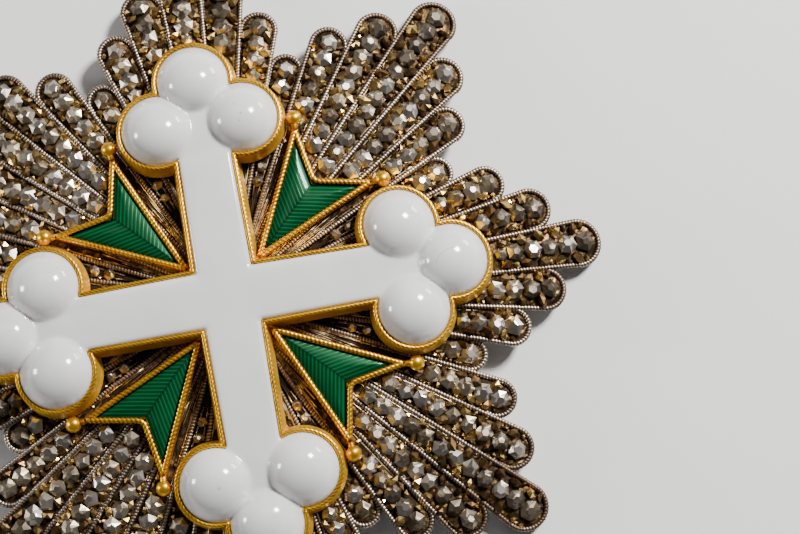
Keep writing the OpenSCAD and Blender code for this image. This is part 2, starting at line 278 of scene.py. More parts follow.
# Places in millimetres on the finished star, radius and colour of the marks that show
BLEMISHES = ((4.8, 19.5, 10.7, 0.22, DARK_SPECK), (4.5, 18.7, 10.7, 0.18, DARK_SPECK),
             (4.3, 20.7, 10.5, 0.16, DARK_SPECK), (-4.2, -20.1, 10.6, 0.35, OCHRE),
             (-1.8, -15.9, 8.6, 0.22, OCHRE))
CRACK_CENTRE, CRACK_R, CRACK_MIDDLE = (25.0, -1.5, 10.0), 2.45, (24.0, 0.7, 10.1)


def white_enamel():
    made, tree, shader = new_material("white_enamel", IOR=1.5, Roughness=0.16, Coat_Weight=0.5,
                                      Coat_Roughness=0.03)
    cloud = spread(tree, noise(tree, 120, 3), 0.35, 0.7)
    base = mixed(tree, cloud, (0.71, 0.705, 0.69), (0.64, 0.635, 0.61))
    for x, y, z, size, colour in BLEMISHES:
        ragged = maths(tree, "ADD", away_from(tree, (x, y, z)), maths(tree, "MULTIPLY", cloud, 0.1 * MM))
        base = mixed(tree, spread(tree, ragged, 0.4 * size * MM, size * MM, 0.6, 0.0), base, colour)
    off_ring = maths(tree, "SUBTRACT", away_from(tree, CRACK_CENTRE), CRACK_R * MM)
    ring = spread(tree, maths(tree, "ABSOLUTE", off_ring), 0.01 * MM, 0.05 * MM, 0.5, 0.0)
    near = spread(tree, away_from(tree, CRACK_MIDDLE), 1.4 * MM, 1.9 * MM, 1.0, 0.0)
    base = mixed(tree, maths(tree, "MULTIPLY", ring, near), base, CRACK_BROWN)
    tree.links.new(base, shader.inputs["Base Color"])
    return made


finish["white"] = white_enamel()
print("marks on the white enamel:", len(BLEMISHES), "and one crack")

# %% [markdown]
# The green enamel is translucent over engraved metal. A real layer of glass would be noisy and
# slow, so its body is an opaque green, coloured by the engraving, with a slight bump below a
# smooth clear coat. The lines follow the arrow's own UV map: X counts them, Y leaves the spine.

# %% Green enamel
DEEP_GREEN, LIT_GREEN = (0.0, 0.014, 0.004), (0.002, 0.115, 0.036)


def green_enamel():
    made, tree, shader = new_material("green_enamel", Metallic=0.2, IOR=1.5, Specular_IOR_Level=0.1,
                                      Coat_Weight=0.25, Coat_Roughness=0.04)
    engraving = build(tree, "ShaderNodeUVMap", uv_map="engraving").outputs[0]
    lines = build(tree, "ShaderNodeSeparateXYZ", {0: engraving}).outputs
    wave = maths(tree, "ABSOLUTE", maths(tree, "SUBTRACT", maths(tree, "FRACT", lines["X"]), 0.5))
    ridge = spread(tree, wave, 0.30, 0.48)
    groove = spread(tree, wave, 0.04, 0.20, 0.6, 0.0)
    spine = spread(tree, lines["Y"], 0.0, 0.02, 0.75, 0.0)
    cloud = spread(tree, noise(tree, 300, 3), 0.3, 0.7)
    body = mixed(tree, cloud, (0.0, 0.044, 0.012), (0.0, 0.060, 0.016))
    for share, colour in ((groove, DEEP_GREEN), (ridge, LIT_GREEN), (spine, DEEP_GREEN)):
        body = mixed(tree, share, body, colour)
    tree.links.new(body, shader.inputs["Base Color"])
    tree.links.new(spread(tree, cloud, 0, 1, 0.30, 0.42), shader.inputs["Roughness"])
    raise_surface(tree, shader, ridge, 0.2, 0.08)
    return made


finish["green"] = green_enamel()
board, tree, shader = new_material("pale_board", Roughness=0.6)
paint = mixed(tree, noise(tree, 40, 4), (0.80, 0.79, 0.77), (0.77, 0.76, 0.745))
tree.links.new(paint, shader.inputs["Base Color"])
floor.data.materials.append(board)
print("finishes:", len(finish))

# %% [markdown]
# ## The star's curve
# The whole star bends down from its middle by 5 mm at the tips of the longest rays. A height in
# a flat model is a level above the undersides of the rays. The ray groups bend like a rolled
# strip, along their own length only, and the cross and the arrows bend like a dome.

# %% Curve and the bench-to-star helper
REACHES = (42.5, 37.7, 33.7)
VALLEY_REACH = 29.2
DOME_DROP = 5.0
CURVE_R = (REACHES[0] ** 2 + DOME_DROP ** 2) / (2 * DOME_DROP)
CURVE_Z = DOME_DROP - CURVE_R


def points_of(piece):
    flat = np.empty(len(piece.data.vertices) * 3, np.float32)
    piece.data.vertices.foreach_get("co", flat)
    return flat.reshape(-1, 3).astype(float)


def set_points(piece, points):
    piece.data.vertices.foreach_set("co", np.asarray(points, np.float32).ravel())
    piece.data.update()


def bend(piece, rolled=False):
    """Bends a flat piece over the star's curve and brings it to metres."""
    p = points_of(piece)
    away = p[:, 0] if rolled else np.hypot(p[:, 0], p[:, 1])
    p[:, 2] = CURVE_Z + np.sqrt((CURVE_R + p[:, 2]) ** 2 - away ** 2)
    set_points(piece, p * MM)
    return piece


def turn_xy(x, y, angle):
    """X and Y turned round the middle of the star."""
    c, s = cos(angle), sin(angle)
    return x * c - y * s, x * s + y * c


def turned(points, degrees):
    points = np.array(points, float)
    points[:, 0], points[:, 1] = turn_xy(points[:, 0], points[:, 1], radians(degrees))
    return points


print("curve radius", round(CURVE_R, 2), "mm")


# %% Bench helpers
def only(*pieces):
    bpy.ops.object.select_all(action="DESELECT")
    for piece in pieces:
        piece.select_set(True)
    bpy.context.view_layer.objects.active = pieces[0]


@contextmanager
def editing(piece, kind="VERT", chosen="DESELECT"):
    """Edit mode on one piece, with nothing selected, or everything if chosen is SELECT."""
    only(piece)
    bpy.ops.object.mode_set(mode="EDIT")
    bpy.ops.mesh.select_mode(type=kind)
    bpy.ops.mesh.select_all(action=chosen)
    try:
        yield
    finally:
        bpy.ops.object.mode_set(mode="OBJECT")


def pick(piece, kind, test):
    """Selects, from inside edit mode, the polygons or vertices that pass a test."""
    bpy.ops.object.mode_set(mode="OBJECT")
    for part in getattr(piece.data, kind):
        part.select = bool(test(part))
    bpy.ops.object.mode_set(mode="EDIT")


def extrude(*way):
    bpy.ops.mesh.extrude_region_move(TRANSFORM_OT_translate={"value": way})


def point_outwards():
    """Turns all faces of the piece that is being edited outwards."""
    bpy.ops.mesh.select_all(action="SELECT")
    bpy.ops.mesh.normals_make_consistent(inside=False)


def merge_doubles(piece, distance):
    with editing(piece, chosen="SELECT"):
        bpy.ops.mesh.remove_doubles(threshold=distance)


def modify(piece, kind, **settings):
    """Adds a modifier and applies it."""
    made = piece.modifiers.new(kind.lower(), kind)
    for key, value in settings.items():
        setattr(made, key, value)
    only(piece)
    bpy.ops.object.modifier_apply(modifier=made.name)


def joined(name, pieces):
    only(*pieces)
    if len(pieces) > 1:
        bpy.ops.object.join()
    piece = bpy.context.object
    piece.name = piece.data.name = name
    return piece


def smooth(piece, angle=None):
    only(piece)
    if angle is None:
        bpy.ops.object.shade_smooth()
    else:
        bpy.ops.object.shade_smooth_by_angle(angle=radians(angle))


# %% Copies, tones and hand-over
def stamp(name, patterns, places):
    """One mesh of many copies. A place is (pattern number, matrix, tone from 0 to 1)."""
    stock = [(points_of(p), [tuple(f.vertices) for f in p.data.polygons]) for p in patterns]
    corners, faces, tones, count = [], [], [], 0
    for number, matrix, tone in places:
        points, pattern_faces = stock[number]
        m = np.array(matrix)
        corners.append(points @ m[:3, :3].T + m[:3, 3])
        faces += [tuple(v + count for v in f) for f in pattern_faces]
        tones += [tone] * len(points)
        count += len(points)
    mesh = bpy.data.meshes.new(name)
    mesh.from_pydata(np.concatenate(corners).tolist(), [], faces)
    piece = add_object(name, mesh)
    set_tone(piece, np.array(tones))
    return piece


def set_tone(piece, tone):
    """Keeps a tone from 0 to 1 on every corner: on a cord 1 is a ridge and 0 a groove."""
    layer = piece.data.attributes.get("tone") or piece.data.attributes.new("tone", "FLOAT", "POINT")
    layer.data.foreach_set("value", np.broadcast_to(np.float32(tone), len(piece.data.vertices)).copy())


def hand_over(piece, name, look, slot, *replaces):
    """Names a finished piece, gives it its finish and ties it to the frame."""
    piece.name = piece.data.name = name
    piece.data.materials.clear()
    piece.data.materials.append(finish[look])
    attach(piece, "root")
    if replaces:
        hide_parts(*replaces)
    return piece


def turned_copy(piece, turn):
    """A copy with its own mesh, turned round the middle of the star."""
    other = add_object(piece.name, piece.data.copy())
    other.data.transform(Matrix.Rotation(radians(turn), 4, "Z"))
    return other


# %% [markdown]
# ## Corded wire
# A cord is two wires twisted together. Drawing each twist by hand would never end, so one short
# link is made: a circle, extruded four times, its radius swelling along a screw line. An Array
# repeats the link, and a Curve modifier lays the row along any line.

# %% Corded wire
def twist_link(radius, pitch, depth, sides, steps, starts, flat):
    """One ridge of a corded wire, along X. With no depth it is a plain round wire."""
    link = primitive(bpy.ops.mesh.primitive_circle_add, vertices=sides, radius=radius,
                     rotation=(0, pi / 2, 0))
    with editing(link, chosen="SELECT"):
        for _ in range(steps):
            extrude(pitch / steps, 0, 0)
    p = points_of(link)
    ridge = np.cos(starts * np.arctan2(p[:, 2], p[:, 1]) - tau * p[:, 0] / pitch)
    p[:, 1:] *= (1 + depth * ridge)[:, None] * (1, flat)
    set_points(link, p)
    set_tone(link, 0.5 + 0.5 * ridge if depth else 0.8)
    return link


def wire_along(line, radius, pitch=0.36, depth=0.15, sides=7, steps=4, starts=1, flat=1.0, closed=False):
    """Lays corded wire along a line of points. flat squeezes it from above."""
    line = np.asarray(line, float)
    ends = np.vstack((line, line[:1])) if closed else line
    length = float(np.linalg.norm(np.diff(ends, axis=0), axis=1).sum())
    count = max(1, round(length / pitch))
    piece = twist_link(radius, length / count, depth, sides, steps, starts, flat)
    path = add_object("path", bpy.data.curves.new("path", "CURVE"))
    path.data.dimensions, path.data.twist_mode = "3D", "Z_UP"
    spline = path.data.splines.new("POLY")
    spline.points.add(len(line) - 1)
    spline.points.foreach_set("co", np.column_stack((line, np.ones(len(line)))).ravel())
    spline.use_cyclic_u = closed
    modify(piece, "ARRAY", count=count, use_relative_offset=False, use_constant_offset=True,
           constant_offset_displace=(length / count, 0, 0), use_merge_vertices=True, merge_threshold=0.001)
    modify(piece, "CURVE", object=path, deform_axis="POS_X")
    bpy.data.objects.remove(path)
    if closed:
        merge_doubles(piece, 0.01)
    with editing(piece, chosen="SELECT"):
        bpy.ops.mesh.fill_holes(sides=0)
        bpy.ops.mesh.normals_make_consistent(inside=False)
    smooth(piece)
    return piece


def plain_wire(line, radius):
    return wire_along(line, radius, pitch=1.2, depth=0, sides=5, steps=1)


# %% [markdown]
# ## Rays
# Each ray is a long wedge with a round tip. Its bed is a thin petal, higher along its middle
# than at its edges. A grid is the best start, because every corner has a row and a column: the
# row gives the place along the ray, the column the place across it.

# %% Ray shape
RAY_PITCH = 7.5
HALF = radians(RAY_PITCH / 2)
RAY_START = 3.0
RAY_PLATE, RAY_STEP, VALLEY_SINK = 0.7, 0.15, 0.3
CROWN = 0.5


def plate_of(side):
    """Level of a ray's edge, from its place in the group."""
    return RAY_PLATE + (2 - abs(side)) * RAY_STEP


def tip_circle(reach):
    """Centre and radius of a ray's round tip, and where its straight sides touch it."""
    r = reach * sin(HALF) / (1 + sin(HALF))
    return reach - r, r, (reach - r) * cos(HALF) ** 2


def half_width(x, reach):
    centre, r, touch = tip_circle(reach)
    if x < touch:
        return x * tan(HALF)
    return sqrt(max(0.0, r * r - (x - centre) ** 2))


print("half widths of a long ray:", [round(half_width(x, REACHES[0]), 2) for x in (10, 25, 40)], "mm")

# %% Ray beds
BED_COLUMNS, BED_FALL = 11, 1.6
CRUMPLE = (-0.16, 0.04)


def ray_bed(reach, plate, turn, dice, inset=0.02):
    """The convex petal below a ray's studs, its top crumpled like beaten foil."""
    centre, r, touch = tip_circle(reach)
    straight = np.linspace(RAY_START, touch, int(reach * 1.4))
    round_end = centre + r * np.sin(np.linspace(-HALF, radians(84), 9))[1:]
    stations = np.concatenate((straight, round_end))
    bed = primitive(bpy.ops.mesh.primitive_grid_add, x_subdivisions=len(stations) - 1,
                    y_subdivisions=BED_COLUMNS - 1, size=2)
    p = points_of(bed)
    row = np.rint((p[:, 0] + 1) / 2 * (len(stations) - 1)).astype(int)
    x, across = stations[row], p[:, 1]
    half = np.array([half_width(v, reach) for v in stations])[row] - inset
    top = plate + CROWN * (1 - across ** 2) * np.sqrt(np.clip((reach - x) / BED_FALL, 0, 1))
    top += np.array([dice.uniform(*CRUMPLE) for _ in x]) * (np.abs(across) < 0.95)
    set_points(bed, np.column_stack((x, across * half, top)))
    modify(bed, "SOLIDIFY", thickness=0.4, offset=-1)
    p = points_of(bed)
    p[len(x):] = np.column_stack((x, across * half, np.zeros(len(x))))
    set_points(bed, turned(p, turn))
    return bed


# %% [markdown]
# The border of a ray is one line for its cord: up one side, round the tip and down the other.
# Two neighbours share one cord, so the lower ray's own side is short and dives below the longer
# ray's cord. Thin plain wires run beside the cords, and more of them fill the narrow ends.

# %% Lines along a ray
CORD_R, CORD_UP = 0.30, 0.24
TIP_INSET, SHORT_SIDE, SHORT_DIVE = 0.12, 3.0, 0.35


def tip_arc(reach, inset, level):
    """Half a turn round a ray's tip, a little inside its edge."""
    centre, r, _ = tip_circle(reach - TIP_INSET)
    return [(centre + (r - inset) * cos(a), (r - inset) * sin(a), level)
            for a in np.linspace(-pi / 2 - HALF, pi / 2 + HALF, 30)]


def edge_line(reach, plate, right_from, left_from):
    """The border of a ray. A side without a start is short and dives."""
    touch = tip_circle(reach - TIP_INSET)[2]

    def side(start, sign):
        dive = SHORT_DIVE if start is None else 0.0
        start = touch - SHORT_SIDE if start is None else start
        out = []
        for x in np.linspace(start, touch, max(3, int((touch - start) / 0.8)))[:-1]:
            share = (x - start) / (touch - start)
            out.append((x, sign * (x * tan(HALF) - 0.1 * share), plate + CORD_UP - dive * (1 - share)))
        return out

    return side(right_from, -1) + tip_arc(reach, 0.1, plate + CORD_UP) + side(left_from, 1)[::-1]


def side_line(plate, start, end, sign, beside, level):
    """A thin wire that runs beside the border, a fixed way inside it."""
    out = []
    for x in np.linspace(start, end, 16):
        half = x * tan(HALF)
        y = half - beside
        out.append((x, sign * y, plate + CROWN * (1 - (y / half) ** 2) + level))
    return out


def needle_line(plate, start, end, share, level):
    """A thin plain wire between border and middle, a fixed share of the way out."""
    return [(x, share * x * tan(HALF), plate + CROWN * (1 - share ** 2) + level)
            for x in np.linspace(start, end, 8)]


print("points in the border of a long ray:", len(edge_line(REACHES[0], plate_of(0), 20.0, 20.0)))

# %% [markdown]
# ## Studs and granules
# A stud is a cut silver bead: a low drum with five to seven sides, as many facets above them, and
# a table. It starts as a cylinder. Its top face is extruded up and made smaller twice, which
# leaves a narrow chamfer round the table: that thin bright line is what makes cut metal sparkle.
# Each pattern leans and is a little uneven, as hand-cut work is. The gilt granules between studs
# and cords are crumpled beads, each turned another way.

# %% Stud and granule patterns
STUD_R, STUD_RISE, STUD_SINK = 1.02, 0.75, 0.125
GIRDLE, CHAMFER_W, CHAMFER_AT = 0.26, 0.13, 0.67
UNEVEN, TABLE_LEAN, CRUSHED = (0.93, 1.11), 0.17, (0.72, 1.15)
# Sides and table radius of each pattern
STUD_KINDS = ((6, 0.40), (5, 0.36), (6, 0.32), (6, 0.46), (7, 0.38), (5, 0.34), (7, 0.32), (6, 0.36))


def stud_pattern(sides, table, dice):
    """A faceted stud of radius 1: a drum, a row of facets, a narrow chamfer and a leaning table."""
    low = -STUD_SINK - 0.2
    stud = primitive(bpy.ops.mesh.primitive_cylinder_add, vertices=sides, radius=1, depth=GIRDLE - low,
                     location=(0, 0, (GIRDLE + low) / 2))
    with editing(stud, "FACE"):
        pick(stud, "polygons", lambda face: face.normal.z > 0.9)
        old_r, old_z = 1.0, GIRDLE
        for r, z in ((table + CHAMFER_W, CHAMFER_AT), (table, STUD_RISE)):
            extrude(0, 0, z - old_z)
            bpy.ops.transform.resize(value=(r / old_r, r / old_r, 1), center_override=(0, 0, z))
            old_r, old_z = r, z
    p = points_of(stud)
    corner = np.rint((np.arctan2(p[:, 1], p[:, 0]) - pi / 2) / (tau / sides)).astype(int) % sides
    p[:, :2] *= np.array([dice.uniform(*UNEVEN) for _ in range(sides)])[corner][:, None]
    upper = p[:, 2] > 0.5
    p[upper, 2] += p[upper, 0] * dice.gauss(0, TABLE_LEAN) + p[upper, 1] * dice.gauss(0, TABLE_LEAN)
    set_points(stud, p)
    return stud


dice = random.Random(7)
stud_patterns = [stud_pattern(*kind, dice) for kind in STUD_KINDS]
nugget = primitive(bpy.ops.mesh.primitive_ico_sphere_add, subdivisions=1, radius=1)
set_points(nugget, points_of(nugget) * np.array([[dice.uniform(*CRUSHED)] for _ in nugget.data.vertices]))
print("stud faces:", [len(s.data.polygons) for s in stud_patterns], "nugget:", len(nugget.data.polygons))

# %% [markdown]
# Studs are left out where the cross or an arrow lies over them, as on the real star. The
# outlines of cross and arrows are needed here first, so they are worked out now.

# %% Sizes of the cross and the arrows
ARM_ROOT, ARM_NECK = 6.3 / 2, 5.8 / 2
LOBE_X, LOBE_Y, END_X, LOBE_R = 19.7, 4.7, 24.8, 4.05
RIM_W, WALL_FLARE = 0.45, 0.35
OUTER = RIM_W + WALL_FLARE
SEAT_GAP = 0.05
SEAT = plate_of(0) + CROWN + SEAT_GAP
ARROW_NOTCH, FRAME_W, BALL_R, BALL_GAP, BALL_STAND = 15.7, 0.7, 0.8, 0.15, 2.6
BALL_BEARING = radians(97)
ARROW_GAP, ARROW_CAP, AIM_SHARE = 0.15, 1.0, 0.7

arrow_cut = (ARM_ROOT + OUTER) * sqrt(2) + ARROW_GAP
arrow_tip = np.array((arrow_cut + ARROW_CAP, 0.0))
ball_away = LOBE_R + OUTER + BALL_GAP + BALL_R
ball_xy = (LOBE_X + ball_away * cos(BALL_BEARING), LOBE_Y + ball_away * sin(BALL_BEARING))
# From the cross's X and Y to the arrow's own line at 45 degrees
ball = np.array(((ball_xy[0] + ball_xy[1]) / sqrt(2), abs(ball_xy[1] - ball_xy[0]) / sqrt(2)))
aim = np.array((arrow_tip[0] + AIM_SHARE * (ARROW_NOTCH - arrow_tip[0]), 0.0))
prong = ball + BALL_STAND * (aim - ball) / np.linalg.norm(aim - ball)
edge_turn = atan2(prong[1], prong[0] - arrow_tip[0])
notch_turn = atan2(prong[1], prong[0] - ARROW_NOTCH)
print("ball at", ball.round(2), "prong at", prong.round(2))


# %% Outlines of the cross and the arrows
def arrow_outline(grow):
    """Inner tip, right prong, notch and left prong of an arrow, grown on every side."""
    middle, half = (edge_turn + notch_turn) / 2, (notch_turn - edge_turn) / 2
    tip = prong + grow / sin(half) * np.array((cos(middle), sin(middle)))
    return [(arrow_tip[0] - grow / sin(edge_turn), 0.0), (tip[0], -tip[1]),
            (ARROW_NOTCH + grow / sin(notch_turn), 0.0), (tip[0], tip[1])]


def arc(x, y, radius, start, stop, steps):
    return [(x + radius * cos(a), y + radius * sin(a))
            for a in np.linspace(start, stop, steps, endpoint=False)]


def cross_line(grow):
    """Outline of the whole cross, anticlockwise, with as many points at every growth."""
    radius, slope = LOBE_R + grow, (ARM_ROOT - ARM_NECK) / LOBE_X
    corner = (ARM_ROOT + grow) / (1 + slope)
    # Where the arm's straight side meets the side lobe
    a, b = ARM_ROOT + grow - LOBE_Y, -slope
    qa, qb, qc = 1 + b * b, 2 * (a * b - LOBE_X), LOBE_X ** 2 + a * a - radius ** 2
    join_x = (-qb - sqrt(qb * qb - 4 * qa * qc)) / (2 * qa)
    join = (join_x, ARM_ROOT + grow - slope * join_x)
    # Where the side lobe meets the end lobe
    dx, dy = END_X - LOBE_X, LOBE_Y
    apart = hypot(dx, dy)
    rise = sqrt(radius ** 2 - apart ** 2 / 4)
    meet = ((LOBE_X + END_X) / 2 + rise * dy / apart, LOBE_Y / 2 + rise * dx / apart)
    # Half an arm, from its end to the corner between two arms
    half = arc(END_X, 0, radius, 0, atan2(meet[1], meet[0] - END_X), 28)
    half += arc(LOBE_X, LOBE_Y, radius, atan2(meet[1] - LOBE_Y, meet[0] - LOBE_X),
                atan2(join[1] - LOBE_Y, join[0] - LOBE_X) % tau, 56)
    half += [(join[0] + share * (corner - join[0]), join[1] + share * (corner - join[1]))
             for share in np.linspace(0, 1, 36)]
    upper = np.array(half)
    arm = np.vstack(((upper[1:-1] * (1, -1))[::-1], upper))
    return np.vstack([turned(arm, quarter * 90.0) for quarter in range(4)])


def over_cross(x, y, clear):
    """Does a point lie over the cross, or less than clear away from it?"""
    big, small = max(abs(x), abs(y)), min(abs(x), abs(y))
    return ((small < ARM_ROOT + OUTER + clear and big < END_X)
            or hypot(big - LOBE_X, small - LOBE_Y) < LOBE_R + OUTER + clear
            or hypot(big - END_X, small) < LOBE_R + OUTER + clear)


def over_arrow(u, v, clear):
    """The same for an arrow, on its own line: u along it and v across it."""
    side = (v - arrow_tip[1]) * cos(edge_turn) - (u - arrow_tip[0]) * sin(edge_turn)
    inner = (u - ARROW_NOTCH) * sin(notch_turn) - v * cos(notch_turn)
    return (hypot(u - ball[0], v - ball[1]) < BALL_R + clear
            or (arrow_cut < u < ball[0] and side < FRAME_W + clear and inner < FRAME_W + clear))


def covered(x, y, clear):
    """Does a point lie below the cross or an arrow?"""
    big, small = max(abs(x), abs(y)), min(abs(x), abs(y))
    return over_cross(x, y, clear) or over_arrow((big + small) / sqrt(2), (big - small) / sqrt(2), clear)


print("cross outline points:", len(cross_line(0)))

# %% Rows of studs and granules
STUD_TIP_GAP, STUD_PITCH, STUD_PITCH_IN, STUD_MIN_R = 2.0, 2.1, 1.75, 0.5
STUD_TILT, STUD_GROWTH = 0.12, (1.06, 1.2)
GRANULE_MAX, GRANULE_MIN = 0.6, 0.1
# Place between two studs, share of the full size and chance of each granule beside a stud
GRANULE_SPOTS = ((0.5, 1.0, 1.0), (0.0, 0.6, 0.6), (0.25, 0.5, 0.35), (0.75, 0.5, 0.35))
ANY_TURN = (0, 6.28)


def stud_r_at(away):
    pitch = STUD_PITCH_IN + (STUD_PITCH - STUD_PITCH_IN) * away / REACHES[0]
    return min(STUD_R * pitch / STUD_PITCH, away * sin(HALF) - 0.325), pitch


def stand(x, y, level, spin, tilt, size):
    """Matrix of something that stands on a rolled strip, in millimetres."""
    lean = asin(x / (CURVE_R + level))
    place = Matrix.Translation((0, y, CURVE_Z)) @ Matrix.Rotation(lean, 4, "Y")
    place = place @ Matrix.Translation((0, 0, CURVE_R + level))
    for angle, axis in ((spin, "Z"), (tilt[0], "X"), (tilt[1], "Y")):
        place = place @ Matrix.Rotation(angle, 4, axis)
    return place @ Matrix.Diagonal((*size, 1))


def ray_rows(reach, plate, turn, group_turn, dice):
    """Places of the studs and granules on one ray."""
    studs, nuggets = [], []
    t, whole = radians(turn), radians(turn + group_turn)

    def hidden(x, y, clear):
        return covered(*turn_xy(x, y, whole), clear)

    def add_stud(x, r):
        spin = t + dice.uniform(*ANY_TURN)
        tilt = (dice.gauss(0, STUD_TILT), dice.gauss(0, STUD_TILT))
        number = dice.randrange(len(stud_patterns))
        size = (r * dice.uniform(*STUD_GROWTH), r * dice.uniform(*STUD_GROWTH), 0.62 + 0.38 * r / STUD_R)
        studs.append((number, stand(*turn_xy(x, 0, t), plate + CROWN, spin, tilt, size), dice.random()))

    def add_granule(x, r, sign, share):
        room = half_width(x, reach) - CORD_R - 0.02
        size = min(GRANULE_MAX, (room - r * 0.58) * 0.62) * share * dice.uniform(0.85, 1.25)
        if size < GRANULE_MIN:
            return
        y = sign * (room - size * dice.uniform(0.75, 0.95))
        if hidden(x, y, size * 0.8):
            return
        across = y / max(0.3, half_width(x, reach))
        level = plate + CROWN * max(0, 1 - across ** 2) + size * 0.35
        spin, tilt = dice.uniform(*ANY_TURN), (dice.uniform(*ANY_TURN), dice.uniform(*ANY_TURN))
        size = (size * dice.uniform(0.9, 1.5), size, size * 0.8)
        nuggets.append((0, stand(*turn_xy(x, y, t), level, spin, tilt, size), dice.random() ** 2.2))

    def close_row(away, r):
        """A smaller stud where the next one would touch the cross or an arrow."""
        for small in (r * 0.8, r * 0.62):
            for x in (away + r - small, away - r + small):
                if not hidden(x, 0, small + 0.03) and small > 0.4:
                    add_stud(x, small)
                    return

    away = reach - STUD_TIP_GAP
    while stud_r_at(away)[0] >= STUD_MIN_R:
        r, pitch = stud_r_at(away)
        if hidden(away, 0, r + 0.05):
            close_row(away, r)
        else:
            add_stud(away, r)
        for sign in (-1, 1):
            for shift, share, chance in GRANULE_SPOTS:
                if dice.random() <= chance:
                    add_granule(away - shift * pitch + dice.uniform(-0.1, 0.1), r, sign, share)
        away -= pitch
    return studs, nuggets


print("stud radius at the tip, half way and inside:", [round(stud_r_at(x)[0], 2) for x in (40, 25, 14)])

# %% [markdown]
# ## Ray groups
# Five rays are soldered side by side. The middle one is the longest and lies highest, so its cord
# covers the edges of its neighbours. Only two kinds of group are built: those behind the arms of
# the cross, and those in its angles. Each is copied to its four places, and every group gets its
# own throw of studs and granules, because no two studs of hand-cut silver sit quite alike.

# %% Beds, cords and wires of one group
# Where the cords begin on the middle ray, the next two and the outer two
FROM_BEHIND_ARM, FROM_IN_ANGLE = (20.0, 17.0, 10.0), (4.6, 4.6, 4.6)
LOWER_CORD_R, LOWER_CORD_OUT, LOWER_CORD_DOWN = 0.2, 0.02, 0.22
WIRES_FROM, SIDE_WIRE_END, SIDE_WIRE_R = 12.0, (0.62, 0.85), 0.1
# Needles: shares of the way out, where they end, their drift, their height and their radius
NEEDLE_SHARES = (-0.62, -0.36, -0.1, 0.16, 0.42, 0.68)
NEEDLE_END, NEEDLE_DRIFT, NEEDLE_UP, NEEDLE_R = (12.5, 15.5), (-0.05, 0.05), (0.0, 0.2), 0.085


def group_metal(behind_arm):
    """Beds, cords and plain wires of a group along +X."""
    beds, cords, wires = [], [], []
    dice = random.Random(11 + behind_arm)
    for side in range(-2, 3):
        reach, plate, turn = REACHES[abs(side)], plate_of(side), side * RAY_PITCH
        beds.append(ray_bed(reach, plate, turn, dice))
        start = (FROM_BEHIND_ARM if behind_arm else FROM_IN_ANGLE)[abs(side)]
        border = edge_line(reach, plate, None if side > 0 else start, None if side < 0 else start)
        cords.append(wire_along(turned(border, turn), CORD_R))
        lower = tip_arc(reach, -LOWER_CORD_OUT, plate - LOWER_CORD_DOWN)
        cords.append(wire_along(turned(lower, turn), LOWER_CORD_R))
        for sign in (-1, 1):
            end = reach * dice.uniform(*SIDE_WIRE_END)
            line = side_line(plate, max(start, WIRES_FROM), end, sign, beside=0.42, level=0.06)
            wires.append(plain_wire(turned(line, turn), SIDE_WIRE_R))
        for share in NEEDLE_SHARES if start < WIRES_FROM else ():
            line = needle_line(plate, start, dice.uniform(*NEEDLE_END), share + dice.uniform(*NEEDLE_DRIFT),
                               dice.uniform(*NEEDLE_UP))
            wires.append(plain_wire(turned(line, turn), NEEDLE_R))
    return [bend(joined(name, parts), rolled=True) for name, parts in
            (("beds", beds), ("cords", cords), ("wires", wires))]


# %% Finishing a group or a single ray
# End of the name, finish and slot of each piece
RAY_PIECES = (("beds", "bed", "silver"), ("cords", "cords", "silver"), ("wires", "wires", "gold"),
              ("studs", "studs", "silver"), ("granules", "granules", "gold"))


def finish_rays(node, masters, studs, nuggets, turn):
    """Copies the metalwork to its place, adds studs and granules, and hands the pieces over."""
    pieces = [turned_copy(master, turn) for master in masters]
    for places, patterns in ((studs, stud_patterns), (nuggets, [nugget])):
        row = stamp("row", patterns, places)
        row.data.transform(Matrix.Rotation(radians(turn), 4, "Z") @ Matrix.Scale(MM, 4))
        pieces.append(row)
    for piece, (ending, look, slot) in zip(pieces, RAY_PIECES):
        hand_over(piece, f"{node}_{ending}", look, slot, *([node] if ending == "beds" else []))
    # The undersides of the rays stay plain silver
    beds = pieces[0].data
    beds.materials.append(finish["back"])
    for face in beds.polygons:
        face.material_index = int(face.normal.z < -0.5)


# %% Eight groups
for first, behind_arm in ((1, True), (2, False)):
    masters = group_metal(behind_arm)
    for index in range(first, 9, 2):
        turn = (index - 1) * 45.0
        dice = random.Random(100 + index)
        studs, nuggets = [], []
        for side in range(-2, 3):
            more = ray_rows(REACHES[abs(side)], plate_of(side), side * RAY_PITCH, turn, dice)
            studs += more[0]
            nuggets += more[1]
        finish_rays(f"ray_group_{index}", masters, studs, nuggets, turn)
        print(f"ray_group_{index}: studs {len(studs)}, granules {len(nuggets)}, "
              f"cord faces {len(masters[1].data.polygons)}")
    for master in masters:
        bpy.data.objects.remove(master)

# %% [markdown]
# Between each two groups lies one short ray. It sits lower, so both neighbours cover its sides.

# %% Valley rays
VALLEY_WIRE_END, VALLEY_WIRE_R = 22.0, 0.09
valley_plate = RAY_PLATE - VALLEY_SINK
bed = ray_bed(VALLEY_REACH, valley_plate, 0, random.Random(5), inset=0.12)
cord = wire_along(edge_line(VALLEY_REACH, valley_plate, None, None), CORD_R)
lines = [side_line(valley_plate, WIRES_FROM, VALLEY_WIRE_END, sign, beside=0.55, level=0.05)
         for sign in (-1, 1)]
wires = [plain_wire(line, VALLEY_WIRE_R) for line in lines]
masters = [bend(piece, rolled=True) for piece in (bed, cord, joined("wires", wires))]
for index in range(1, 9):
    turn = (index - 0.5) * 45.0
    rows = ray_rows(VALLEY_REACH, valley_plate, 0, turn, random.Random(200 + index))
    finish_rays(f"valley_ray_{index}", masters, *rows, turn)
for piece in masters + stud_patterns + [nugget]:
    bpy.data.objects.remove(piece)
print("valley rays done, studs each:", len(rows[0]))

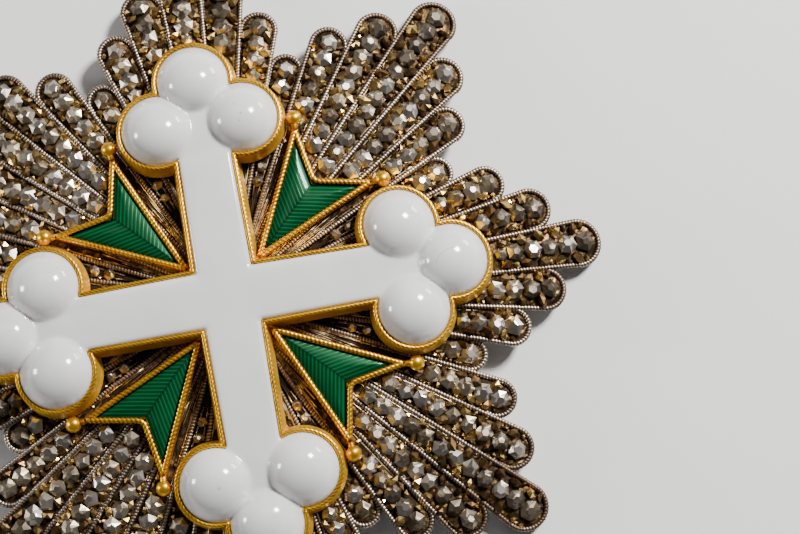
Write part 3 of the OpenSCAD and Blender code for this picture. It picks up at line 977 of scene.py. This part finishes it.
# %% [markdown]
# ## The cross's gold tray
# The tray is one wall that follows the outline of the cross, a little wider at its foot. It is
# drawn as a jeweller bends a strip: one closed line, extruded ring by ring, each ring moved to
# the outline at its own growth. A floor closes it below the enamel. A roped wire is laid along
# its top, as on the real piece.

# %% Skirt and skin helpers
def at_level(line, level):
    return np.column_stack((line, np.full(len(line), level)))


def tree_of(points):
    """A search tree that finds the nearest of some points."""
    tree = KDTree(len(points))
    for number, point in enumerate(points):
        tree.insert(point, number)
    tree.balance()
    return tree


def dense(line, step=0.04):
    """A closed line with points close enough to snap to."""
    out = []
    for a, b in zip(line, np.roll(line, -1, axis=0)):
        count = max(1, int(np.linalg.norm(b - a) / step))
        out.append(a + (b - a) * np.linspace(0, 1, count, endpoint=False)[:, None])
    return np.vstack(out)


def skirt(rings):
    """Extrudes a closed line from ring to ring."""
    piece = primitive(bpy.ops.mesh.primitive_circle_add, vertices=len(rings[0]))
    set_points(piece, rings[0])
    for old, new in zip(rings, rings[1:]):
        last = len(piece.data.vertices) - len(old)
        with editing(piece):
            pick(piece, "vertices", lambda corner: corner.index >= last)
            extrude(0, 0, 0)
        p = points_of(piece)
        tree = tree_of(old)
        order = [tree.find(point)[1] for point in p[last + len(old):]]
        p[last + len(old):] = np.asarray(new)[order]
        set_points(piece, p)
    return piece


def skin_over(clear, border, spacing, size=30.0):
    """A flat grid cut to the cross: cells outside go, and the corners on the edge slide to its border."""
    steps = int(round(2 * size / spacing))
    piece = primitive(bpy.ops.mesh.primitive_grid_add, x_subdivisions=steps, y_subdivisions=steps,
                      size=2 * size)
    with editing(piece, "FACE"):
        pick(piece, "polygons", lambda face: not over_cross(face.center.x, face.center.y, clear))
        bpy.ops.mesh.delete(type="FACE")
    with editing(piece):
        bpy.ops.mesh.select_non_manifold(extend=False)
    tree = tree_of(at_level(border, 0))
    for vertex in piece.data.vertices:
        if vertex.select:
            vertex.co = tree.find(vertex.co)[0]
    return piece, tree


# %% Cross frame
FLOOR_T, WALL_H, RIM_H = 0.6, 2.3, 0.45
WALL_TOP = SEAT + WALL_H
RIM_TOP = WALL_TOP + RIM_H
# Growth of the outline and level of each ring: up outside, over the rim, down inside
PROFILE = ((OUTER, SEAT), (OUTER, SEAT + 0.12), (0.66, SEAT + 0.45), (0.52, SEAT + 1.3),
           (RIM_W, WALL_TOP - 0.1), (RIM_W, RIM_TOP - 0.22), (0.10, RIM_TOP - 0.12), (0.0, RIM_TOP - 0.25),
           (0.0, SEAT + FLOOR_T), (0.0, SEAT))
tray_wall = skirt([at_level(cross_line(grow), level) for grow, level in PROFILE])
with editing(tray_wall):
    bpy.ops.mesh.select_non_manifold(extend=False)
    bpy.ops.mesh.bridge_edge_loops()
    point_outwards()
tray_floor = skin_over(-OUTER + 0.05, dense(cross_line(0.05)), 1.0)[0]
modify(tray_floor, "SOLIDIFY", thickness=FLOOR_T, offset=0)
set_points(tray_floor, points_of(tray_floor) + (0, 0, SEAT + 0.32))
smooth(tray_wall, 45)
rope = wire_along(at_level(cross_line(RIM_W / 2), RIM_TOP - 0.12), RIM_W / 2, pitch=0.5, depth=0.2,
                  sides=12, starts=3, flat=0.8, closed=True)
cross_tray = bend(joined("cross_tray", [tray_wall, tray_floor]))
hand_over(cross_tray, "cross_tray", "gold_wall", "gold", "cross_frame")
hand_over(bend(rope), "cross_rope", "gold_rope", "gold")
print("tray faces", len(cross_tray.data.polygons), "rope faces", len(rope.data.polygons))

# %% [markdown]
# ## White enamel
# The enamel lies in the tray like thick cream: it leaves the rim in a soft round edge, runs
# level along the arms, and swells into a dome on each of the twelve lobes. A grid cut to the
# outline gets its height from two shapes, the pillow and the domes, joined by a soft maximum,
# because fired glass never shows a hard inner corner.

# %% Cross enamel
BOSS_R, BOSS_RISE, BOSS_BLEND = 3.65, 2.3, 0.5
EDGE_DIP, EDGE_REACH = 0.16, 0.6
EDGE_START, EDGE_RISE, EDGE_SPAN = 0.2, 3.2, 0.9
ENAMEL_LOW = SEAT + FLOOR_T + SEAT_GAP
ENAMEL_TOP = RIM_TOP + 0.2
BOSS_BALL = (BOSS_R ** 2 + BOSS_RISE ** 2) / (2 * BOSS_RISE)


def soft_max(a, b, width):
    share = np.clip(0.5 + 0.5 * (a - b) / width, 0, 1)
    return b + (a - b) * share + width * share * (1 - share)


enamel, border = skin_over(-OUTER - SEAT_GAP, dense(cross_line(-SEAT_GAP)), 0.25)
p = points_of(enamel)
inset = np.array([border.find((x, y, 0))[2] for x, y, _ in p])
top = ENAMEL_TOP - EDGE_DIP * np.exp(-inset / EDGE_REACH)
for quarter in range(4):
    for cx, cy in turned([(END_X, 0), (LOBE_X, LOBE_Y), (LOBE_X, -LOBE_Y)], quarter * 90.0):
        away = np.hypot(p[:, 0] - cx, p[:, 1] - cy)
        beyond = -(away - BOSS_BALL) * 2
        dome = np.where(away < BOSS_BALL, np.sqrt(np.maximum(BOSS_BALL ** 2 - away ** 2, 0)), beyond)
        dome += ENAMEL_TOP + BOSS_RISE - BOSS_BALL
        top = np.where(away < BOSS_BALL + 1.5, soft_max(dome, top, BOSS_BLEND), top)
# Beside the rim the glass starts a little below it and rises steeply
top = np.minimum(top, RIM_TOP - EDGE_START + EDGE_RISE * np.sqrt(np.maximum(inset, 0) / EDGE_SPAN))
modify(enamel, "SOLIDIFY", thickness=0.1, offset=-1)
p = points_of(enamel)
p[:len(top), 2], p[len(top):, 2] = top, ENAMEL_LOW
set_points(enamel, p)
smooth(enamel, 60)
hand_over(bend(enamel), "cross_enamel_skin", "white", "white_enamel", "cross_enamel")
print("enamel faces", len(enamel.data.polygons), "top", round(float(top.max()), 2))

# %% [markdown]
# ## Green arrows
# Each arrow is a small tray with a rope along each of its four edges, and a ball on a tapered
# collar at both prongs. One arrow is built with its point towards the middle along +X, then
# copied to the four angles of the cross.

# %% Arrow tray
FRAME_TOP, TRAY_DEPTH = SEAT + 1.3, 0.55
ROPE_R, ROPE_LEVEL = 0.29, FRAME_TOP - 0.24


def slab(outline, low, high):
    """A flat plate of any outline: a circle with as many corners, moved, filled and extruded."""
    piece = primitive(bpy.ops.mesh.primitive_circle_add, vertices=len(outline), fill_type="NGON")
    set_points(piece, at_level(np.array(outline), low))
    with editing(piece, "FACE", "SELECT"):
        extrude(0, 0, high - low)
        point_outwards()
    return piece


tray = slab(arrow_outline(FRAME_W - 0.05), SEAT, ROPE_LEVEL)
with editing(tray, "FACE"):
    pick(tray, "polygons", lambda face: face.normal.z > 0.9)
    bpy.ops.mesh.inset(thickness=FRAME_W * 0.8)
    bpy.ops.transform.translate(value=(0, 0, -TRAY_DEPTH))
set_tone(tray, 0.5)
print("arrow tray faces:", len(tray.data.polygons))


# %% Arrow ropes
def rounded(a, corner, b, radius, steps=8):
    """A line from a to b by way of a corner, with the corner rounded."""
    a, corner, b = (np.array(q, float) for q in (a, corner, b))
    start = corner + radius * (a - corner) / np.linalg.norm(a - corner)
    end = corner + radius * (b - corner) / np.linalg.norm(b - corner)
    share = np.linspace(0, 1, steps)[:, None]
    curve = (1 - share) ** 2 * start + 2 * share * (1 - share) * corner + share ** 2 * end
    return np.vstack((a + (start - a) * np.linspace(0, 1, 12, endpoint=False)[:, None], curve,
                      end + (b - end) * np.linspace(0, 1, 13)[1:, None]))


inner, right, notch, left = (np.array(c) for c in arrow_outline(ROPE_R + 0.03))
ropes = [wire_along(at_level(line, ROPE_LEVEL), ROPE_R, pitch=0.48, depth=0.17, sides=10, starts=2, flat=0.8)
         for line in (rounded(inner, (inner + right) / 2, right, 0.5),
                      rounded(left, (inner + left) / 2, inner, 0.5), rounded(right, notch, left, 0.8))]
print("arrow rope faces:", [len(rope.data.polygons) for rope in ropes])

# %% Balls and collars
KNOB_LEVEL, BALL_MORE = FRAME_TOP - BALL_R / 2, 0.08
BALL_TONE, COLLAR_TONE = 0.6, 0.35
knobs = []
for sign in (-1, 1):
    round_ball = primitive(bpy.ops.mesh.primitive_uv_sphere_add, segments=32, ring_count=18,
                           radius=BALL_R + BALL_MORE, location=(ball[0], sign * ball[1], KNOB_LEVEL))
    set_tone(round_ball, BALL_TONE)
    way = np.array((prong[0] - ball[0], sign * (prong[1] - ball[1])))
    middle = (ball[0] + way[0] / 4, sign * ball[1] + way[1] / 4, KNOB_LEVEL)
    collar = primitive(bpy.ops.mesh.primitive_cone_add, vertices=32, radius1=BALL_R * 0.6,
                       radius2=BALL_R * 0.42, depth=float(np.linalg.norm(way)) / 2, location=middle,
                       rotation=(0, pi / 2, atan2(way[1], way[0])))
    with editing(collar, "FACE", "SELECT"):
        bpy.ops.mesh.bevel(offset=0.08, segments=2, affect="EDGES")
    set_tone(collar, COLLAR_TONE)
    knobs += [round_ball, collar]
for piece in (tray, *knobs):
    smooth(piece, 40)
arrow = bend(joined("arrow", [tray, *ropes, *knobs]))
print("arrow faces", len(arrow.data.polygons))

# %% [markdown]
# The green glass is a thin slab in two halves that meet on the arrow's spine. Cut fine, its top
# rises from the edges like a pillow. Its UV map counts the engraved lines: each is as far from the
# notch's edge as the next, so both halves meet in chevrons, as the engraver cut them.

# %% Arrow enamel
ENGRAVING = 0.42
GLASS_LOW, GLASS_HIGH, GLASS_EDGE = SEAT + 0.45, FRAME_TOP - 0.15, FRAME_TOP - 0.55
PILLOW_RISE, PILLOW_REACH, PILLOW_POWER = 0.46, 0.75, 1.15
outline = arrow_outline(-SEAT_GAP)
halves = []
for sign in (-1, 1):
    half = np.array([outline[0], (outline[1][0], sign * abs(outline[1][1])), outline[2]])
    halves.append(slab(half[::-1] if sign > 0 else half, GLASS_LOW, GLASS_HIGH))
glass = joined("glass", halves)
merge_doubles(glass, 0.001)
with editing(glass, "FACE"):
    pick(glass, "polygons", lambda face: abs(face.center.y) < 0.01 and abs(face.normal.z) < 0.5)
    bpy.ops.mesh.delete(type="FACE")
    bpy.ops.mesh.select_all(action="SELECT")
    bpy.ops.mesh.quads_convert_to_tris()
    for _ in range(5):
        bpy.ops.mesh.subdivide(number_cuts=1)
border = tree_of(at_level(dense(np.array(outline), 0.05), 0))
p = points_of(glass)
for point in p:
    if point[2] > FRAME_TOP - 0.2:
        gap = border.find((point[0], point[1], 0))[2]
        point[2] = GLASS_EDGE + PILLOW_RISE * (1 - exp(-(gap / PILLOW_REACH) ** PILLOW_POWER))
set_points(glass, p)
layer = glass.data.uv_layers.new(name="engraving")
for loop in glass.data.loops:
    x, y, _ = p[loop.vertex_index]
    gap = (x - ARROW_NOTCH) * sin(notch_turn) - abs(y) * cos(notch_turn)
    layer.data[loop.index].uv = (gap / ENGRAVING, abs(y) / 10)
smooth(glass, 40)
bend(glass)
print("glass faces", len(glass.data.polygons))

# %% Four arrows
for index in range(1, 5):
    for master, name, look, slot, node in ((arrow, "arrow_tray", "gold_rope", "gold", "arrow_frame"),
                                           (glass, "arrow_glass", "green", "green_enamel", "arrow_enamel")):
        piece = turned_copy(master, index * 90.0 - 45)
        hand_over(piece, f"{name}_{index}", look, slot, f"{node}_{index}")
for piece in (arrow, glass):
    bpy.data.objects.remove(piece)
print("arrows at", [index * 90 - 45 for index in range(1, 5)], "degrees")

# %% [markdown]
# ## Back
# The back plate and the fixed pin are right as they are. They only get the plain silver finish.

# %% Back plate and pin
for node in ("back_plate", "back_pin"):
    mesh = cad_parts[node].data
    mesh.materials.clear()
    mesh.materials.append(finish["back"])
print("back finished")

# %% [markdown]
# Last, the triangles of the dressed star are counted, piece by piece.

# %% Triangle count
triangles = {o.name: sum(len(f.vertices) - 2 for f in o.data.polygons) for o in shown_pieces()}
print("pieces", len(triangles), "triangles", sum(triangles.values()),
      "largest", max(triangles.items(), key=lambda item: item[1]))
